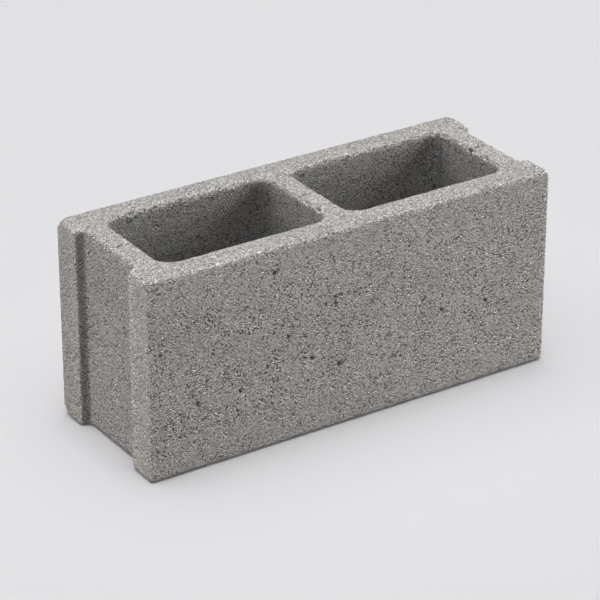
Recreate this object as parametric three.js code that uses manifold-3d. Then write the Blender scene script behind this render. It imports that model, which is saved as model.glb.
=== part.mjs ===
// Hollow two-core concrete masonry block, cast as one solid.
// Millimetres, +Z up. The origin is the centre of the bottom bed, +X runs along the length.

import * as THREE from 'three';
import { mergeVertices } from 'three/addons/utils/BufferGeometryUtils.js';
import Module from 'manifold-3d';

// Overall size
const length = 397;
const width = 146;
const height = 181;

// Walls, measured at the top bed, where the cores are widest
const faceShell = 24.4;
const endWeb = 22;
const centreWeb = 21;

// Cores: tapered so that the block strips from its mould
const coreCornerRadius = 14;
const coreDraft = 1.5;

// Ends: two flat ears beside a shallow full-height mortar recess with steep flanks
const earWidth = 31.5;
const recessDepth = 8.5;
const recessFlankRun = 1;
const recessMouthRadius = 2;
const recessFootRadius = 3;

// Edges
const verticalArrisRadius = 2;
const wornArris = 1.5;

// Facets along each fillet
const filletSegments = 8;
const wornArrisSegments = 3;

const concrete = new THREE.MeshStandardMaterial({ color: 0x9b9893, roughness: 0.95, metalness: 0 });

// A closed outline through corners [x, y, radius], each corner rounded by an arc tangent to its two sides.
function filletedShape(corners) {
  const shape = new THREE.Shape();
  corners.forEach(([x, y, radius], i) => {
    const corner = new THREE.Vector2(x, y);
    const [beforeX, beforeY] = corners.at(i - 1);
    const [afterX, afterY] = corners[(i + 1) % corners.length];
    const toBefore = new THREE.Vector2(beforeX, beforeY).sub(corner);
    const toAfter = new THREE.Vector2(afterX, afterY).sub(corner);
    const halfAngle = Math.acos(toBefore.dot(toAfter) / (toBefore.length() * toAfter.length())) / 2;
    const turnsLeft = toBefore.cross(toAfter) < 0;

    const shorterSide = Math.min(toBefore.length(), toAfter.length());
    const reach = Math.min(radius / Math.tan(halfAngle), shorterSide / 2);
    const arcRadius = reach * Math.tan(halfAngle);
    const start = corner.clone().addScaledVector(toBefore.normalize(), reach);
    const end = corner.clone().addScaledVector(toAfter.normalize(), reach);
    const inward = toBefore.clone().add(toAfter).normalize();
    const centre = corner.clone().addScaledVector(inward, Math.hypot(reach, arcRadius));

    const startAngle = start.sub(centre).angle();
    const endAngle = end.sub(centre).angle();
    shape.absarc(centre.x, centre.y, arcRadius, startAngle, endAngle, !turnsLeft);
  });
  return shape;
}

// Plan of the block: one end's corners, then the same corners turned half round for the other end.
function blockPlan() {
  const endX = length / 2;
  const recessX = endX - recessDepth;
  const sideY = width / 2;
  const mouthY = sideY - earWidth;
  const footY = mouthY - recessFlankRun;
  const end = [
    [endX, -sideY, verticalArrisRadius],
    [endX, -mouthY, recessMouthRadius],
    [recessX, -footY, recessFootRadius],
    [recessX, footY, recessFootRadius],
    [endX, mouthY, recessMouthRadius],
    [endX, sideY, verticalArrisRadius],
  ];
  const otherEnd = end.map(([x, y, radius]) => [-x, -y, radius]);
  return filletedShape([...end, ...otherEnd]);
}

// The full-height body, with its horizontal arrises worn round.
function blockBody() {
  const geometry = new THREE.ExtrudeGeometry(blockPlan(), {
    depth: height - 2 * wornArris,
    curveSegments: filletSegments / 2,
    bevelThickness: wornArris,
    bevelSize: wornArris,
    bevelOffset: -wornArris,
    bevelSegments: wornArrisSegments,
  });
  return geometry.translate(0, 0, wornArris);
}

// A closed solid through plan loops of equal point count, one at each height.
function loft(sections) {
  const positions = sections.flatMap(({ loop, z }) => loop.flatMap((point) => [point.x, point.y, z]));
  const count = sections[0].loop.length;
  const indices = [];
  for (let level = 0; level < sections.length - 1; level++) {
    for (let i = 0; i < count; i++) {
      const lower = level * count + i;
      const lowerNext = level * count + ((i + 1) % count);
      indices.push(lower, lowerNext, lowerNext + count);
      indices.push(lower, lowerNext + count, lower + count);
    }
  }
  const top = (sections.length - 1) * count;
  for (const [a, b, c] of THREE.ShapeUtils.triangulateShape(sections[0].loop, [])) {
    indices.push(c, b, a, top + a, top + b, top + c);
  }
  const geometry = new THREE.BufferGeometry();
  geometry.setAttribute('position', new THREE.Float32BufferAttribute(positions, 3));
  geometry.setIndex(indices);
  return geometry;
}

// The space of one core, centred on x: a drafted rounded rectangle that opens out at both worn rims.
function coreSpace(centreX) {
  const coreLength = (length - 2 * recessDepth - 2 * endWeb - centreWeb) / 2;
  const coreWidth = width - 2 * faceShell;

  const section = (z, spread) => {
    const halfX = coreLength / 2 + spread;
    const halfY = coreWidth / 2 + spread;
    const radius = coreCornerRadius + spread;
    const corners = [[halfX, -halfY], [halfX, halfY], [-halfX, halfY], [-halfX, -halfY]];
    const shape = filletedShape(corners.map(([x, y]) => [centreX + x, y, radius]));
    return { z, loop: shape.getPoints(filletSegments / 2).slice(0, -1) };
  };

  const draftAt = (z) => coreDraft * (z / height - 1);
  const rim = Array.from({ length: wornArrisSegments + 1 }, (_, i) => {
    const angle = (i / wornArrisSegments) * (Math.PI / 2);
    return { drop: wornArris * (1 - Math.sin(angle)), spread: wornArris * (1 - Math.cos(angle)) };
  });
  const bottomRim = rim.toReversed().map(({ drop, spread }) => section(drop, draftAt(drop) + spread));
  const topRim = rim.map(({ drop, spread }) => section(height - drop, draftAt(height - drop) + spread));
  const overrun = (z) => section(z, draftAt(z) + wornArris);
  return loft([overrun(-wornArris), ...bottomRim, ...topRim, overrun(height + wornArris)]);
}

// Booleans
const wasm = await Module();
wasm.setup();

function toSolid(geometry) {
  geometry.deleteAttribute('normal');
  geometry.deleteAttribute('uv');
  const merged = mergeVertices(geometry);
  const mesh = new wasm.Mesh({
    numProp: 3,
    vertProperties: merged.attributes.position.array,
    triVerts: Uint32Array.from(merged.index.array),
  });
  return new wasm.Manifold(mesh);
}

function toGeometry(solid) {
  const { vertProperties, triVerts } = solid.getMesh();
  const geometry = new THREE.BufferGeometry();
  geometry.setAttribute('position', new THREE.BufferAttribute(vertProperties, 3));
  geometry.setIndex(new THREE.BufferAttribute(triVerts, 1));
  geometry.computeVertexNormals();
  return geometry;
}

function concreteBlock() {
  const corePitch = (length - 2 * recessDepth - 2 * endWeb + centreWeb) / 2;
  const cores = [-corePitch / 2, corePitch / 2].map((x) => toSolid(coreSpace(x)));
  const solid = cores.reduce((body, core) => body.subtract(core), toSolid(blockBody()));
  const mesh = new THREE.Mesh(toGeometry(solid), concrete);
  mesh.name = 'concrete_block';
  return mesh;
}

const part = new THREE.Group();
part.add(concreteBlock());

export default part;
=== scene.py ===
"""A two-core hollow concrete block: its worn, grainy surface, its finish and a plain pale studio."""

import math
import random

import bmesh
import bpy
import numpy as np
from bpy.props import FloatProperty, FloatVectorProperty, IntProperty, PointerProperty
from bpy.types import Operator, Panel, PropertyGroup
from mathutils import Matrix, Vector
from mathutils.kdtree import KDTree


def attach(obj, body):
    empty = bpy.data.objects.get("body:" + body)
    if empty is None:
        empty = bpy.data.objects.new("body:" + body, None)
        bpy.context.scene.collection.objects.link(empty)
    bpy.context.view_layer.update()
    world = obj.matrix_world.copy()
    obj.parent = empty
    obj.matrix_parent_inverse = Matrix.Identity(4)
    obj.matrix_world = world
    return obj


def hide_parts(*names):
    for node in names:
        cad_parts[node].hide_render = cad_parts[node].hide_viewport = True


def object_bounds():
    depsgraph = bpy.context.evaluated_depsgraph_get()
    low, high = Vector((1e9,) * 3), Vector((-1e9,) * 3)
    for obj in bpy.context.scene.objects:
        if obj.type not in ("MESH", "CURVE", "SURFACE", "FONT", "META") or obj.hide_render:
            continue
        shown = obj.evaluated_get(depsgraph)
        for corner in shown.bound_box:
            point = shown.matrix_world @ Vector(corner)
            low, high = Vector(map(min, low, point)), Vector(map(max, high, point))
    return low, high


bl_info = {
    "name": "Hollow concrete block",
    "version": (1, 0, 0),
    "blender": (4, 5, 0),
    "location": "3D View > Sidebar > Block",
    "description": "Dresses a hollow concrete block and sets it in a plain studio",
    "category": "Object",
}

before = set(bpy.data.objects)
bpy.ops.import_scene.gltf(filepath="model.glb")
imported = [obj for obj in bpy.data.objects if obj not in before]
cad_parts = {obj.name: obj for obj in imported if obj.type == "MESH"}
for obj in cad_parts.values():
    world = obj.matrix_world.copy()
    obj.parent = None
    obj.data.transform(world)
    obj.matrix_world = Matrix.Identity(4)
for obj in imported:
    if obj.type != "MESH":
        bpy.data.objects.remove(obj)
CAD_BOX = [list(corner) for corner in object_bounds()]
SOLID = "concrete_block"
LENGTH, WIDTH, HEIGHT = (high - low for low, high in zip(*CAD_BOX))
MM = 0.001

# What stands out on the faces: the middle in mm, then the radius and the depth
OPEN_VOIDS = (
    ((-79, -73, 158), 3.0, 3.0),
    ((-43, -73, 71), 3.0, 2.6),
    ((-16, -73, 58), 3.1, 3.2),
    ((-20, -73, 115), 2.8, 2.4),
    ((88, -73, 79), 2.9, 3.0),
    ((-153, -73, 61), 3.2, 2.8),
    ((-66, -73, 97), 2.8, 2.4),
    ((-113, -73, 61), 2.8, 2.4),
    ((133, -73, 76), 2.6, 2.2),
    ((-187, -73, 114), 2.8, 2.4),
)
CHIPS = (
    ((190, 43, 181), 4.0, 2.6),
    ((187, 2, 181), 3.0, 1.8),
    ((168, 2, 179), 3.6, 3.4),
    ((-196, 40, 181), 4.0, 2.4),
    ((-191, 1, 181), 3.2, 1.6),
    ((-140, 49, 181), 5.0, 2.4),
    ((-118, 49, 181), 4.0, 2.0),
    ((-92, 49, 181), 5.0, 2.2),
    ((-157, -73, 0), 2.6, 1.6),
    ((-143, -73, 0), 3.0, 1.8),
    ((-31, -73, 0), 3.8, 2.4),
    ((18, -73, 0), 3.0, 1.8),
    ((105, -73, 0), 2.6, 1.6),
    ((148, -73, 0), 3.0, 1.8),
    ((167, -73, 0), 2.8, 1.8),
)
BRUISES = (
    ((-198.5, 73, 181), 10.0, 2.2),
    ((-198.5, 73, 0), 10.0, 2.6),
    ((198.5, 73, 181), 9.0, 1.4),
)

# Points closer than this are welded, an edge with a smaller squared length counts as that long,
# and a stored weight is rounded to one of so many steps
WELD = 0.001 * MM
NO_LENGTH = 1e-12
WEIGHT_STEPS = 20

# Worn arrises: how the curvature of the surface becomes wear, and what stays firmer
CURVE_PASSES = 3
WORN_CURVE = 3.2
OUTER_BAND = 3 * MM
BED_BAND = 6 * MM
FIRM_SHARE = 0.4

# Small voids and bites: the least of each against the largest, and how wide and deep they are
VOID_SEED, BITE_SEED, SEAM_SEED = 7, 11, 3
LEAST_VOID = 0.35
VOID_RADIUS = 1.3
LEAST_BITE = 0.5
BITE_DEPTH = 0.7
RIM_WEAR = 0.5
CORE_FROM_END = 25 * MM
CORE_FROM_FACE = 18 * MM

# Joints across the webs: the middle and the reach of each, and the spots along them, in mm
SEAMS = ((-179, 10), (0, 9), (179, 10))
SEAM_STEP = 3
SEAM_WANDER = 1.8
SEAM_RADIUS = (1.6, 2.6)
SEAM_DEPTH = (0.4, 1.2)

# Lamps: the azimuth and elevation of each, and how wide it is, all in degrees
LAMPS = {
    "overhead": (0, 90, 24),
    "soft": (0, 90, 40),
    "ceiling": (-90, 85, 80),
    "left": (-105, 20, 40),
    "right": (48, 12, 40),
}
FLOOR_REACH = 30.0

# Camera: its azimuth and elevation in degrees, then how far it stands back, aside and below
# the line from the aiming point, in metres
CAMERA_SIDE = (-33.34, 26.57)
CAMERA_PLACE = (2.4188, 0.00609, 0.01334)
AIM_HEIGHT = 0.097
SENSOR_WIDTH = 36.0


# ---------------------------------------------------------------- sizes and colours


class BlockSurface(PropertyGroup):
    """Relief of the pressed concrete, all of it cut into the solid and never added to it."""

    grid: FloatProperty(name="Grid", description="Spacing of the points that carry the relief",
                        default=1.1 * MM, unit="LENGTH")
    triangles: IntProperty(name="Triangles", description="Most triangles in the finished surface",
                           default=190000)
    swell: FloatProperty(name="Swell", description="Depth of the slow unevenness of the faces",
                         default=0.25 * MM, unit="LENGTH")
    swell_size: FloatProperty(name="Swell size", description="Spacing of the slow unevenness",
                              default=30 * MM, unit="LENGTH")
    grain: FloatProperty(name="Grain", description="Depth of the relief between the coarse grains",
                         default=0.35 * MM, unit="LENGTH")
    grain_size: FloatProperty(name="Grain size", description="Spacing of the coarse grains",
                              default=3.4 * MM, unit="LENGTH")
    crumble: FloatProperty(name="Crumble", description="Depth of the grains lost along the arrises",
                           default=2.3 * MM, unit="LENGTH")
    crumb_size: FloatProperty(name="Crumb size", description="Spacing of the grains lost along the arrises",
                              default=3.2 * MM, unit="LENGTH")
    bites: IntProperty(name="Bites", description="Small bites out of the rims of the cores",
                       default=260)
    bite_size: FloatProperty(name="Bite size", description="Reach of the largest bite",
                             default=2.5 * MM, unit="LENGTH")
    voids: IntProperty(name="Voids", description="Small voids spread over all faces", default=300)
    void_depth: FloatProperty(name="Void depth", description="Depth of the deepest small void",
                              default=1.4 * MM, unit="LENGTH")


class BlockFinish(PropertyGroup):
    """Colours of the concrete and the sizes of its grain."""

    paste: FloatVectorProperty(name="Cement paste", description="Colour of the dry paste",
                               subtype="COLOR", default=(0.446, 0.419, 0.398))
    dusty: FloatVectorProperty(name="Dusty beds", description="Colour of the level faces",
                               subtype="COLOR", default=(0.455, 0.437, 0.421))
    pale: FloatVectorProperty(name="Pale grains", description="Tint of the palest sand",
                              subtype="COLOR", default=(0.965, 1.0, 1.013))
    deep: FloatVectorProperty(name="Deep crevices", description="Tint of the darkest crevices",
                              subtype="COLOR", default=(1.06, 1.0, 0.98))
    rosy: FloatVectorProperty(name="Rosy bloom", description="Tint of the warm patches",
                              subtype="COLOR", default=(1.010, 0.997, 0.998))
    mossy: FloatVectorProperty(name="Green bloom", description="Tint of the cool patches",
                               subtype="COLOR", default=(0.980, 1.0, 1.004))
    sand_size: FloatProperty(name="Sand size", description="Spacing of the sand grains",
                             default=0.67 * MM, unit="LENGTH")
    crevice_size: FloatProperty(name="Crevice size", description="Spacing of the open crevices",
                                default=2.2 * MM, unit="LENGTH")
    crevice_width: FloatProperty(name="Crevice width",
                                 description="Width of a crevice, as a share of the soft pattern's range",
                                 default=0.065)
    # Painted shade: a crevice's colour keeps only this share of the light
    crevice_shade: FloatProperty(name="Crevice tone", description="Share of light that a crevice keeps",
                                default=0.16)
    crevice_bend: FloatProperty(name="Crevice bend", description="How far a crevice strays off its line",
                                default=1.8 * MM, unit="LENGTH")
    # The lip below a crevice takes a painted highlight, like a grain top lit from above: how far below and
    # how much lighter
    lip_height: FloatProperty(name="Lip height", description="Distance of the lit lip from its crevice",
                              default=1.0 * MM, unit="LENGTH")
    lip_highlight: FloatProperty(name="Lip tone", description="How much lighter a lip is", default=1.1)
    bloom_size: FloatProperty(name="Bloom size", description="Spacing of the warm and cool patches",
                              default=25 * MM, unit="LENGTH")
    layer_size: FloatProperty(name="Layer size", description="Height of the soft layers on the sides",
                              default=6 * MM, unit="LENGTH")
    layers: FloatProperty(name="Layers", description="Strength of the soft layers", default=0.14)
    drift: FloatProperty(name="Drift", description="Strength of the slow drifts of tone", default=0.2)
    drift_size: FloatProperty(name="Drift size", description="Spacing of the slow drifts of tone",
                              default=70 * MM, unit="LENGTH")
    ear_tone: FloatProperty(name="Ear tone", description="How much lighter the ears are", default=0.29)
    recess_tone: FloatProperty(name="Recess tone", description="How much lighter the end recesses are",
                               default=0.11)
    # Painted shade on the flanks of the end recesses
    flank_shade: FloatProperty(name="Flank tone", description="How much darker their flanks are than them",
                              default=0.29)
    # Painted shade in the cores: how much darker the core walls are
    wall_shade: FloatProperty(name="Wall tone", description="How much darker the core walls are",
                             default=0.14)
    # Partly wear, partly a painted highlight: how much lighter the worn arrises are
    arris_wear_and_highlight: FloatProperty(name="Arris tone", description="How much lighter a worn arris is",
                              default=0.2)
    # Painted contact shade along the foot, where the block meets the floor
    foot_shade: FloatProperty(name="Foot tone", description="How much darker the bottom arris is",
                             default=0.65)
    # Painted shade in the voids, chips and seam marks
    void_shade: FloatProperty(name="Void tone", description="How much darker the deepest voids are",
                             default=0.6)
    relief: FloatProperty(name="Fine relief", description="Height of the sand grains",
                          default=0.8 * MM, unit="LENGTH")
    roughness: FloatProperty(name="Roughness", description="Roughness of the dry surface", default=0.94)
    shine: FloatProperty(name="Shine", description="Strength of the faint shine on the grains",
                         default=0.25)


class Studio(PropertyGroup):
    """Floor, lamps and camera."""

    floor_colour: FloatVectorProperty(name="Floor", description="Colour of the floor", subtype="COLOR",
                                      default=(0.795, 0.790, 0.815))
    backdrop_colour: FloatVectorProperty(name="Backdrop", description="Colour far behind the floor",
                                         subtype="COLOR", default=(0.755, 0.75, 0.773))
    bounce_colour: FloatVectorProperty(name="Bounce", description="Colour of the light off the floor",
                                       subtype="COLOR", default=(0.6, 0.6, 0.6))
    evenness: FloatProperty(name="Evenness", description="Share of the floor's look that takes no shadow",
                            default=0.12)
    overhead: FloatProperty(name="Overhead lamp", description="Strength of the lamp overhead", default=1.05)
    soft: FloatProperty(name="Soft lamp", description="Strength of the overhead lamp for the block",
                        default=1.75)
    ceiling: FloatProperty(name="Ceiling", description="Strength of the wide overhead light for the floor",
                           default=1.95)
    left: FloatProperty(name="Left lamp", description="Strength of the low lamp on the left", default=1.10)
    right: FloatProperty(name="Right lamp", description="Strength of the low lamp on the right", default=1.85)
    focal_length: FloatProperty(name="Focal length", description="Focal length of the camera in mm",
                                default=171.95)


# ---------------------------------------------------------------- shaders written as expressions


class Wire:
    """A node's output that can stand in an expression: each operator adds a Math node."""

    def __init__(self, finish, socket):
        self.finish = finish
        self.socket = socket

    def math(self, operation, *values):
        """The result of a Math node on values or wires."""
        return self.finish.add("Math", {"operation": operation}, dict(enumerate(values)))

    def __add__(self, other):
        return self.math("ADD", self, other)

    def __radd__(self, other):
        return self.math("ADD", other, self)

    def __sub__(self, other):
        return self.math("SUBTRACT", self, other)

    def __rsub__(self, other):
        return self.math("SUBTRACT", other, self)

    def __mul__(self, other):
        return self.math("MULTIPLY", self, other)

    def __rmul__(self, other):
        return self.math("MULTIPLY", other, self)

    def absolute(self):
        return self.math("ABSOLUTE", self)

    def greatest(self, other):
        return self.math("MAXIMUM", self, other)

    def vector(self, operation, slot, value):
        """The result of a Vector Math node on this wire and a value in one of its slots."""
        return self.finish.add("VectorMath", {"operation": operation}, {0: self, slot: value}, "Vector")

    def plus(self, other):
        """Adds a vector or a colour."""
        return self.vector("ADD", 1, other)

    def minus(self, other):
        """Takes a vector or a colour away."""
        return self.vector("SUBTRACT", 1, other)

    def scaled(self, other):
        """Stretches a vector, axis by axis."""
        return self.vector("MULTIPLY", 1, other)

    def times(self, level):
        """Makes a vector longer, or a colour lighter, by a number."""
        return self.vector("SCALE", "Scale", level)


class Finish:
    """The node tree of a material or world, and the one method that adds nodes to it."""

    def __init__(self, datablock):
        datablock.use_nodes = True
        self.tree = datablock.node_tree
        self.tree.nodes.clear()

    def add(self, kind, settings=None, sockets=None, output=0):
        """Adds a node, sets it up, fills its sockets and returns one of its outputs as a wire."""
        node = self.tree.nodes.new("ShaderNode" + kind)
        for name, value in (settings or {}).items():
            if name == "stops":
                self.set_stops(node.color_ramp.elements, value)
            else:
                setattr(node, name, value)
        for name, value in (sockets or {}).items():
            self.plug(node.inputs[name], value)
        return Wire(self, node.outputs[output]) if node.outputs else None

    def set_stops(self, elements, stops):
        """Moves a ramp's own two stops to the first two places, and adds the others."""
        for index, (position, level) in enumerate(stops):
            element = elements[index] if index < len(elements) else elements.new(position)
            element.position = position
            element.color = (level, level, level, 1.0)

    def plug(self, slot, value):
        """Sets a socket to a value, or links it to a wire."""
        if isinstance(value, Wire):
            self.tree.links.new(value.socket, slot)
        elif slot.type == "RGBA":
            slot.default_value = (*value, 1.0)
        else:
            slot.default_value = value

    def axis(self, vector, name):
        """One part of a vector: X, Y or Z."""
        return self.add("SeparateXYZ", None, {0: vector}, name)

    def blend(self, factor, first, second, how="MIX"):
        """Mixes two colours."""
        return self.add("Mix", {"data_type": "RGBA", "blend_type": how},
                        {0: factor, 6: first, 7: second}, 2)

    def ramp(self, factor, *stops):
        """Reads a number off a curve of (position, level) stops."""
        return self.add("ValToRGB", {"stops": stops}, {"Fac": factor})

    def rise(self, factor, start, end):
        """0 up to the start, and 1 from the end on."""
        return self.ramp(factor, (start, 0.0), (end, 1.0))

    def fall(self, factor, start, end):
        """1 up to the start, and 0 from the end on."""
        return self.ramp(factor, (start, 1.0), (end, 0.0))


# ---------------------------------------------------------------- the block


def link(piece):
    """Puts a new object into the scene."""
    bpy.context.scene.collection.objects.link(piece)
    return piece


def solid_copy(node, name):
    """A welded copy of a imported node."""
    shape = bmesh.new()
    shape.from_mesh(node.data)
    bmesh.ops.remove_doubles(shape, verts=shape.verts, dist=WELD)
    mesh = bpy.data.meshes.new(name)
    shape.to_mesh(mesh)
    shape.free()
    return link(bpy.data.objects.new(name, mesh))


def modifier(piece, kind, **settings):
    """Adds a modifier, and applies it."""
    step = piece.modifiers.new(kind.title(), kind)
    for name, value in settings.items():
        setattr(step, name, value)
    bpy.context.view_layer.update()
    shown = piece.evaluated_get(bpy.context.evaluated_depsgraph_get())
    mesh = bpy.data.meshes.new_from_object(shown, preserve_all_data_layers=True,
                                           depsgraph=bpy.context.evaluated_depsgraph_get())
    piece.modifiers.clear()
    old = piece.data
    piece.data = mesh
    bpy.data.meshes.remove(old)


def read(mesh, field):
    """The places or the normals of all points of a mesh, as rows of three."""
    rows = np.empty(len(mesh.vertices) * 3, np.float32)
    if field == "normal":
        mesh.vertex_normals.foreach_get("vector", rows)
    else:
        mesh.vertices.foreach_get(field, rows)
    return rows.reshape(-1, 3)


def near_points(place):
    """A finder of the points near a given place."""
    finder = KDTree(len(place))
    for index, point in enumerate(place):
        finder.insert(point, index)
    finder.balance()
    return finder


def convexity(mesh, passes):
    """How sharply the surface turns outwards at each point, in turns per metre."""
    place = read(mesh, "co").astype(float)
    normal = read(mesh, "normal").astype(float)
    ends = np.empty(len(mesh.edges) * 2, np.int32)
    mesh.edges.foreach_get("vertices", ends)
    a, b = ends.reshape(-1, 2).T
    apart = place[a] - place[b]
    turn = ((normal[a] - normal[b]) * apart).sum(1) / np.maximum((apart ** 2).sum(1), NO_LENGTH)
    count = np.bincount(a, minlength=len(place)) + np.bincount(b, minlength=len(place))
    bend = np.bincount(a, turn, len(place)) + np.bincount(b, turn, len(place))
    bend = bend / count
    for _ in range(passes):
        bend = (np.bincount(a, bend[b], len(place)) + np.bincount(b, bend[a], len(place))) / count
    return bend


def noise_texture(name, kind, size, **settings):
    """A solid pattern for a Displace modifier, with features of a given size."""
    texture = bpy.data.textures.new(name, kind)
    texture.noise_scale = size
    for key, value in settings.items():
        setattr(texture, key, value)
    return texture


def weigh(piece, name, weights):
    """Stores one weight for each point as a vertex group."""
    group = piece.vertex_groups.new(name=name)
    steps = np.round(np.clip(weights, 0, 1) * WEIGHT_STEPS).astype(int)
    for step in range(1, WEIGHT_STEPS + 1):
        chosen = np.flatnonzero(steps == step)
        if len(chosen):
            group.add(chosen.tolist(), step / WEIGHT_STEPS, "REPLACE")


def roughen(piece, texture, depth, group=""):
    """Cuts a texture's relief into a piece: its highest level stays where the surface was."""
    modifier(piece, "DISPLACE", texture=texture, texture_coords="LOCAL", direction="NORMAL",
             mid_level=1.0, strength=depth, vertex_group=group)


def sink(piece, finder, spots):
    """Presses round hollows into a piece: each spot is a point, a radius and a depth.

    Returns how far down its hollow each point lies, from 0 to 1.
    """
    place = read(piece.data, "co")
    normal = read(piece.data, "normal")
    hollow = np.zeros(len(place))
    for centre, radius, depth in spots:
        for _, index, distance in finder.find_range(centre, radius):
            fall = (1 - (distance / radius) ** 2) ** 1.5
            place[index] -= normal[index] * depth * fall
            hollow[index] = max(hollow[index], fall)
    piece.data.vertices.foreach_set("co", place.ravel())
    piece.data.update()
    return hollow


def bruise(piece, finder, spots):
    """Wears corners back: each spot is a corner, the reach of the wear and its depth."""
    place = read(piece.data, "co")
    middle = Vector((0, 0, HEIGHT / 2))
    for corner, reach, depth in spots:
        inward = Vector([math.copysign(1, value) for value in middle - corner]).normalized()
        for _, index, distance in finder.find_range(corner, reach):
            place[index] += inward * depth * (1 - (distance / reach) ** 2) ** 2
    piece.data.vertices.foreach_set("co", place.ravel())
    piece.data.update()


def keep_inside(piece, low, high):
    """Brings points that stand out of a box back onto its faces."""
    place = np.clip(read(piece.data, "co"), low, high)
    piece.data.vertices.foreach_set("co", place.ravel())
    piece.data.update()


def finish_faces(piece):
    """Splits every face into triangles, so that no bent one folds over, and shades them smooth."""
    shape = bmesh.new()
    shape.from_mesh(piece.data)
    bmesh.ops.triangulate(shape, faces=shape.faces)
    for face in shape.faces:
        face.smooth = True
    shape.to_mesh(piece.data)
    shape.free()


def paint(piece):
    """Turns every vertex group into an attribute that a material can read."""
    names = [group.name for group in piece.vertex_groups]
    weights = np.zeros((len(names), len(piece.data.vertices)), np.float32)
    for point in piece.data.vertices:
        for entry in point.groups:
            weights[entry.group, point.index] = entry.weight
    piece.vertex_groups.clear()
    for name, values in zip(names, weights):
        shade = piece.data.attributes.new(name, "FLOAT", "POINT")
        shade.data.foreach_set("value", values)


def arris_share(place):
    """How far each point may crumble: the long outer arrises stay firmer than rims and ends."""
    x, y, z = abs(place).T
    outer = (x > LENGTH / 2 - OUTER_BAND) | (y > WIDTH / 2 - OUTER_BAND)
    between = (z > BED_BAND) & (z < HEIGHT - BED_BAND)
    return np.where(outer & between, FIRM_SHARE, 1.0)


def seams():
    """A faint joint across the top of each web, where the mould's halves meet."""
    chance = random.Random(SEAM_SEED)
    spots = []
    for middle, reach in SEAMS:
        for step in range(-reach, reach + 1, SEAM_STEP):
            at = Vector((middle + step, chance.uniform(-SEAM_WANDER, SEAM_WANDER), HEIGHT / MM)) * MM
            spots.append((at, chance.uniform(*SEAM_RADIUS) * MM, chance.uniform(*SEAM_DEPTH) * MM))
    return spots


def in_metres(spots):
    """The same spots, from millimetres."""
    return [(Vector(at) * MM, radius * MM, depth * MM) for at, radius, depth in spots]


def small_voids(surface, points):
    """Voids of all sizes up to the deepest, spread evenly over the given points."""
    chance = random.Random(VOID_SEED)
    spots = []
    for _ in range(surface.voids):
        size = LEAST_VOID + (1 - LEAST_VOID) * chance.random() ** 3
        at = points[chance.randrange(len(points))]
        spots.append((Vector(at), VOID_RADIUS * size * surface.void_depth, size * surface.void_depth))
    return spots


def rim_bites(surface, points, arris):
    """Small bites out of the rims of the cores, where sand grains have broken away."""
    chance = random.Random(BITE_SEED)
    x, y, z = abs(points).T
    inside = (x < LENGTH / 2 - CORE_FROM_END) & (y < WIDTH / 2 - CORE_FROM_FACE)
    rims = np.flatnonzero((arris > RIM_WEAR) & inside)
    spots = []
    for _ in range(surface.bites):
        at = points[rims[chance.randrange(len(rims))]]
        reach = surface.bite_size * chance.uniform(LEAST_BITE, 1.0)
        spots.append((Vector(at), reach, BITE_DEPTH * reach))
    return spots


def cast_block(surface):
    """The block with its uneven faces, crumbled arrises, voids, chips and grains."""
    block = solid_copy(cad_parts[SOLID], "block")
    modifier(block, "REMESH", mode="VOXEL", voxel_size=surface.grid, use_smooth_shade=True)
    arris = convexity(block.data, CURVE_PASSES) * WORN_CURVE * MM * arris_share(read(block.data, "co"))
    weigh(block, "arris", arris)
    roughen(block, noise_texture("swell", "CLOUDS", surface.swell_size, noise_depth=2), surface.swell)
    crumbs = noise_texture("crumbs", "CLOUDS", surface.crumb_size, noise_depth=2, noise_type="HARD_NOISE")
    roughen(block, crumbs, surface.crumble, "arris")
    roughen(block, noise_texture("grains", "VORONOI", surface.grain_size), surface.grain)
    finder = near_points(read(block.data, "co"))
    bruise(block, finder, in_metres(BRUISES))
    hollows = small_voids(surface, read(block.data, "co")) + in_metres(OPEN_VOIDS + CHIPS) + seams()
    weigh(block, "hollow", sink(block, finder, hollows))
    sink(block, finder, rim_bites(surface, read(block.data, "co"), arris))
    triangles = sum(len(face.vertices) - 2 for face in block.data.polygons)
    modifier(block, "DECIMATE", ratio=surface.triangles / triangles)
    keep_inside(block, *CAD_BOX)
    paint(block)
    finish_faces(block)
    return block


# ---------------------------------------------------------------- the finish of the concrete


def cells(finish, place, size, output="Color"):
    """Grains of one size: a random tone for each, or how far a point lies from its middle."""
    found = finish.add("TexVoronoi", {"voronoi_dimensions": "3D", "feature": "F1"},
                       {"Vector": place, "Scale": 1 / size}, output)
    return finish.add("SeparateColor", None, {0: found}) if output == "Color" else found


def clouds(finish, place, size, detail=1.0, output=0):
    """A soft pattern around one half; its Color output gives a vector instead of a number."""
    return finish.add("TexNoise", None, {"Vector": place, "Scale": 1 / size, "Detail": detail}, output)


def cracks(finish, place, size, width):
    """Thin curved lines, where a soft pattern passes its middle value."""
    off_line = (clouds(finish, place, size) - 0.5).absolute()
    bottom, brink = 0.6 * width, 1.5 * width
    return finish.ramp(off_line, (0.0, 1.0), (bottom, 1.0), (brink, 0.0))


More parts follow.
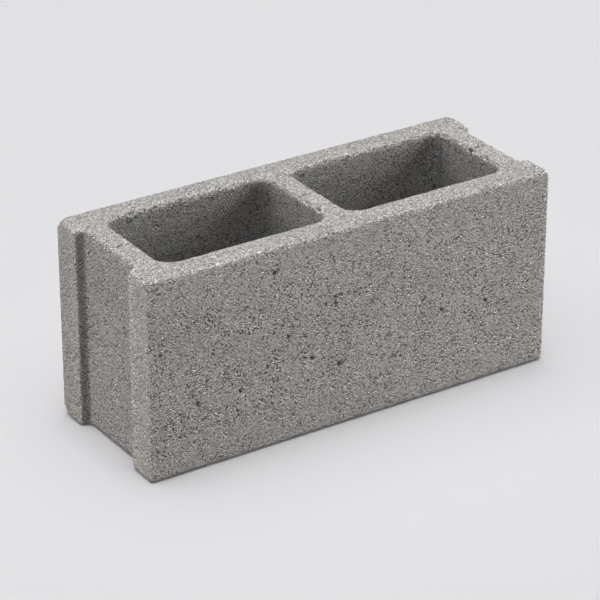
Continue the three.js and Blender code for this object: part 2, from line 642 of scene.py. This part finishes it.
class Zones:
    """Where a point of the block lies, and a mask from 0 to 1 for each part of its surface."""

    def __init__(self, finish):
        self.place = finish.add("TexCoord", output="Object")
        self.along, self.across, self.above = [finish.axis(self.place, name) for name in "XYZ"]
        facing = finish.add("TexCoord", output="Normal")

        # Which way the surface faces: the level beds, and the walls that face front or back
        self.bed = finish.rise(finish.axis(facing, "Z").absolute(), 0.75, 0.92)
        self.side = finish.rise(finish.axis(facing, "Y").absolute(), 0.5, 0.8)

        # The ends with their ears, and what lies inside the face shells: core walls and recesses
        from_middle = self.along.absolute()
        self.end = finish.rise(from_middle, LENGTH / 2 - 12 * MM, LENGTH / 2 - 10 * MM)
        self.ear = finish.rise(from_middle, LENGTH / 2 - 3 * MM, LENGTH / 2 - 2 * MM)
        self.inner = finish.fall(self.across.absolute(), WIDTH / 2 - 22 * MM, WIDTH / 2 - 17 * MM)
        self.recess = self.inner * self.end
        self.wall = self.inner * (1 - self.end) * (1 - self.bed)

        # Bands by height, among them the foot, which takes painted contact shade, then the worn arrises,
        # which take wear and a painted highlight, and the hollows, which take painted shade
        self.foot = finish.fall(self.above, 1.2 * MM, 3 * MM)
        self.base_band = finish.fall(self.above, 15 * MM, 45 * MM)
        self.low = finish.fall(self.above, 20 * MM, 90 * MM)
        self.top_band = finish.rise(self.above, HEIGHT - 55 * MM, HEIGHT - 14 * MM)
        self.worn = finish.add("Attribute", {"attribute_name": "arris"}, None, "Fac")
        # The hollows of the voids, chips and seam marks, which take painted shade
        hollow = finish.add("Attribute", {"attribute_name": "hollow"}, None, "Fac")
        self.hollow = finish.rise(hollow, 0.25, 0.65)


def sand_tones(finish, zones, colours):
    """A tone for each grain of sand, few of them very dark or very pale."""
    grain = cells(finish, zones.place, colours.sand_size)
    return finish.ramp(grain, (0.0, 0.34), (0.12, 0.77), (0.50, 1.0), (0.88, 1.19), (1.0, 1.9))


def crevice_strength(finish, zones, size):
    """How open the crevices are: in patches, and fewer where the mould pressed the paste closer."""
    elsewhere = zones.place.plus((0.5, 0.3, 0.2))
    patches = finish.rise(clouds(finish, elsewhere, size), 0.44, 0.48)
    coarse = finish.ramp(clouds(finish, zones.place, 18 * MM), (0.38, 0.78), (0.56, 1.0))

    # How much shallower the crevices are on each part
    on_beds, on_ears, on_walls, on_flanks = 0.20, 0.15, 0.15, 0.25
    at_top, at_base = 0.15, 0.08
    strength = patches * coarse * (1 - on_beds * zones.bed) * (1 - on_ears * zones.ear)
    strength = strength * (1 - on_walls * zones.wall) * (1 - on_flanks * zones.recess * zones.side)
    closer = at_top * zones.top_band + at_base * zones.base_band
    return strength * (1 - closer * (1 - zones.inner) * (1 - zones.bed))


def crevices(finish, zones, colours):
    """Short bent cracks between the grains, which sink the fine relief and take painted shade, and the lip
    just below each of them, which takes a painted highlight.
    """
    size, width = colours.crevice_size, colours.crevice_width
    bend = clouds(finish, zones.place, 0.9 * size, output="Color").minus((0.5, 0.5, 0.5))
    bent = zones.place.plus(bend.times(colours.crevice_bend))
    strength = crevice_strength(finish, zones, size)
    crevice = strength * cracks(finish, bent, size, width)
    lip = strength * cracks(finish, bent.plus((0.0, 0.0, colours.lip_height)), size, width)
    return crevice, lip


def slow_tones(finish, zones, colours):
    """How light each part is against the faces, with painted shade in the cores, on the recess flanks, along
    the foot and in the hollows, wear and a painted highlight on the arrises, and soft layers and slow drifts
    over all of it.
    """
    along, across, bed, wall = zones.along, zones.across, zones.bed, zones.wall

    # Changes of tone per metre: along the faces, across the beds and ears, and the painted shade along the
    # core walls
    on_faces, on_beds, on_ears = 0.3, 0.3, 1.9
    end_wall_shade_rate, side_wall_shade_rate = 0.5, 0.6
    web_tone, wall_layers = 0.07, 0.2

    drift = clouds(finish, zones.place, colours.drift_size, detail=3.0)
    level = 1 + colours.drift * (drift - 0.5)
    level = level * (1 + on_faces * along * (1 - bed) + bed * (web_tone * zones.inner - on_beds * across))
    level = level * (1 + zones.ear * (colours.ear_tone - on_ears * across))
    # The end recesses are lighter, and their flanks darker by painted shade
    level = level * (1 + zones.recess * (colours.recess_tone - colours.flank_shade * zones.side))
    # Painted shade on the core walls: all darker, and in the right-hand core darker on the end walls and
    # lighter on the side walls towards the right
    wall_shade_slope = end_wall_shade_rate - (end_wall_shade_rate + side_wall_shade_rate) * zones.side
    level = level * (1 - wall * (colours.wall_shade + wall_shade_slope * along.greatest(0.0)))
    # Worn arrises lighter, partly wear and partly a painted highlight, but not along the foot
    level = level * (1 + colours.arris_wear_and_highlight * zones.worn * (1 - zones.foot))
    # Painted contact shade along the foot, and painted shade in the voids, chips and seam marks
    level = level * (1 - colours.foot_shade * zones.foot) * (1 - colours.void_shade * zones.hollow)
    flattened = zones.place.scaled((0.15, 0.15, 1.0))
    layers = clouds(finish, flattened, colours.layer_size)
    return level * (1 + (colours.layers + wall_layers * wall) * (layers - 0.5) * (1 - bed))


def concrete(colours):
    """Pressed concrete: sand in grey paste with short open crevices; beds and ears are calmer."""
    material = bpy.data.materials.new("pressed concrete")
    finish = Finish(material)
    zones = Zones(finish)
    crevice, lip = crevices(finish, zones, colours)
    # Painted shade in the crevices and a painted highlight on the lips below them, carried on in the grain
    # tones
    crevice_shade_and_lip_highlight = (1 - (1 - colours.crevice_shade) * crevice) * (1 + colours.lip_highlight * lip * (1 - crevice))
    grains = sand_tones(finish, zones, colours) * crevice_shade_and_lip_highlight

    # Colour: paste under patches of tint, and a tint for the palest and the darkest specks
    base = finish.blend(zones.bed.greatest(zones.wall), tuple(colours.paste), tuple(colours.dusty))
    more_when_low = 0.08 * zones.low
    patches = finish.rise(clouds(finish, zones.place, colours.bloom_size) + more_when_low, 0.42, 0.62)
    bloom = finish.blend(patches, tuple(colours.rosy), tuple(colours.mossy))
    speck = finish.blend(finish.rise(0.5 * grains, 0.1, 0.9), tuple(colours.deep), tuple(colours.pale))
    tint = finish.blend(1.0, bloom, speck, "MULTIPLY")
    colour = finish.blend(1.0, base, tint, "MULTIPLY").times(grains * slow_tones(finish, zones, colours))

    # Fine relief: round grains with the crevices sunk between them
    bump_size = 1.65 * colours.sand_size
    height = 0.5 * (1 - cells(finish, zones.place, bump_size, "Distance")) - 0.5 * crevice
    bump = finish.add("Bump", None, {"Strength": 1.0, "Distance": colours.relief, "Height": height})
    shader = finish.add("BsdfPrincipled", None, {
        "Base Color": colour,
        "Roughness": colours.roughness,
        "Specular IOR Level": colours.shine,
        "Normal": bump,
    })
    finish.add("OutputMaterial", None, {"Surface": shader})
    return material


# ---------------------------------------------------------------- the studio


def rays_that_see(finish):
    """1 for rays that show the backdrop: the camera's, and those off metal or through glass."""
    camera = finish.add("LightPath", output="Is Camera Ray")
    glossy = finish.add("LightPath", output="Is Glossy Ray")
    through = finish.add("LightPath", output="Is Transmission Ray")
    return camera.greatest(glossy).greatest(through)


def floor_finish(studio):
    """Pale paper that keeps the object's shadow, with a share that the shadow leaves alone."""
    material = bpy.data.materials.new("studio floor")
    finish = Finish(material)
    seen = rays_that_see(finish)
    colour = finish.blend(seen, tuple(studio.bounce_colour), tuple(studio.floor_colour))
    paper = finish.add("BsdfDiffuse", None, {"Color": colour})
    glow = finish.add("Emission", None, {"Color": tuple(studio.backdrop_colour), "Strength": 1.0})
    mixed = finish.add("MixShader", None, {0: studio.evenness * seen, 1: paper, 2: glow})
    finish.add("OutputMaterial", None, {"Surface": mixed})
    return material


def lay_floor(studio):
    """A wide sheet of paper, level with the block's base."""
    sheet = bmesh.new()
    bmesh.ops.create_grid(sheet, x_segments=1, y_segments=1, size=FLOOR_REACH)
    mesh = bpy.data.meshes.new("floor")
    sheet.to_mesh(mesh)
    sheet.free()
    floor = link(bpy.data.objects.new("floor", mesh))
    mesh.materials.append(floor_finish(studio))
    return floor


def light_world(studio):
    """The camera and shiny surfaces see the pale backdrop; the lamps do the lighting."""
    world = bpy.data.worlds.new("studio")
    finish = Finish(world)
    seen = rays_that_see(finish)
    shown = finish.add("Background", None, {"Color": tuple(studio.backdrop_colour), "Strength": seen})
    finish.add("OutputWorld", None, {"Surface": shown})
    bpy.context.scene.world = world


def aim_from(azimuth, elevation):
    """The unit direction of a place seen from the object; azimuth 0 is straight in front."""
    a, e = math.radians(azimuth), math.radians(elevation)
    return Vector((math.sin(a) * math.cos(e), -math.cos(a) * math.cos(e), math.sin(e)))


def hang_lamp(name, azimuth, elevation, width, strength, leave_out=None):
    """A soft lamp far away, as wide as the angle that it fills."""
    lamp = link(bpy.data.objects.new(name, bpy.data.lights.new(name, "SUN")))
    lamp.data.energy = strength
    lamp.data.angle = math.radians(width)
    lamp.rotation_euler = aim_from(azimuth, elevation).to_track_quat("Z", "Y").to_euler()
    if leave_out:
        group = bpy.data.collections.new(name + " leaves out")
        group.objects.link(leave_out)
        group.collection_objects[0].light_linking.link_state = "EXCLUDE"
        lamp.light_linking.receiver_collection = group


def place_camera(studio):
    """Looks down on the left front corner."""
    back = aim_from(*CAMERA_SIDE)
    right = Vector((0, 0, 1)).cross(back).normalized()
    up = back.cross(right)
    distance, aside, below = CAMERA_PLACE
    place = Vector((0, 0, AIM_HEIGHT)) + distance * back - aside * right - below * up
    camera = link(bpy.data.objects.new("camera", bpy.data.cameras.new("camera")))
    camera.data.sensor_width = SENSOR_WIDTH
    camera.data.lens = studio.focal_length
    turned = Matrix((right, up, back)).transposed().to_4x4()
    camera.matrix_world = Matrix.Translation(place) @ turned
    bpy.context.scene.camera = camera


# ---------------------------------------------------------------- operators and panel


class OBJECT_OT_cast_block(Operator):
    """Casts the concrete block"""

    bl_idname = "object.cast_block"
    bl_label = "Cast the block"

    def execute(self, context):
        block = cast_block(context.scene.block_surface)
        block.data.materials.clear()
        block.data.materials.append(concrete(context.scene.block_finish))
        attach(block, "root")
        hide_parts(SOLID)
        return {"FINISHED"}


class OBJECT_OT_set_studio(Operator):
    """Sets up the floor, the lamps and the camera"""

    bl_idname = "object.set_studio"
    bl_label = "Set up the studio"

    def execute(self, context):
        studio = context.scene.studio
        floor = lay_floor(studio)
        light_world(studio)
        block = bpy.data.objects["block"]
        hang_lamp("overhead", *LAMPS["overhead"], studio.overhead)
        hang_lamp("overhead soft", *LAMPS["soft"], studio.soft, floor)
        hang_lamp("ceiling", *LAMPS["ceiling"], studio.ceiling, block)
        hang_lamp("left", *LAMPS["left"], studio.left, floor)
        hang_lamp("right", *LAMPS["right"], studio.right, floor)
        place_camera(studio)
        context.scene.view_settings.view_transform = "Standard"
        return {"FINISHED"}


class VIEW3D_PT_block(Panel):
    """Lists the block's pieces and settings"""

    bl_idname = "VIEW3D_PT_block"
    bl_label = "Concrete block"
    bl_space_type = "VIEW_3D"
    bl_region_type = "UI"
    bl_category = "Block"

    def draw(self, context):
        for operator in (OBJECT_OT_cast_block, OBJECT_OT_set_studio):
            self.layout.operator(operator.bl_idname)
        for group in ("block_surface", "block_finish", "studio"):
            settings = getattr(context.scene, group)
            for name in settings.__annotations__:
                self.layout.prop(settings, name)


CLASSES = (BlockSurface, BlockFinish, Studio, OBJECT_OT_cast_block, OBJECT_OT_set_studio, VIEW3D_PT_block)


def register():
    for item in CLASSES:
        bpy.utils.register_class(item)
    bpy.types.Scene.block_surface = PointerProperty(type=BlockSurface)
    bpy.types.Scene.block_finish = PointerProperty(type=BlockFinish)
    bpy.types.Scene.studio = PointerProperty(type=Studio)


def unregister():
    del bpy.types.Scene.studio
    del bpy.types.Scene.block_finish
    del bpy.types.Scene.block_surface
    for item in reversed(CLASSES):
        bpy.utils.unregister_class(item)


def main():
    register()
    bpy.ops.object.cast_block()
    bpy.ops.object.set_studio()


if __name__ == "__main__":
    main()
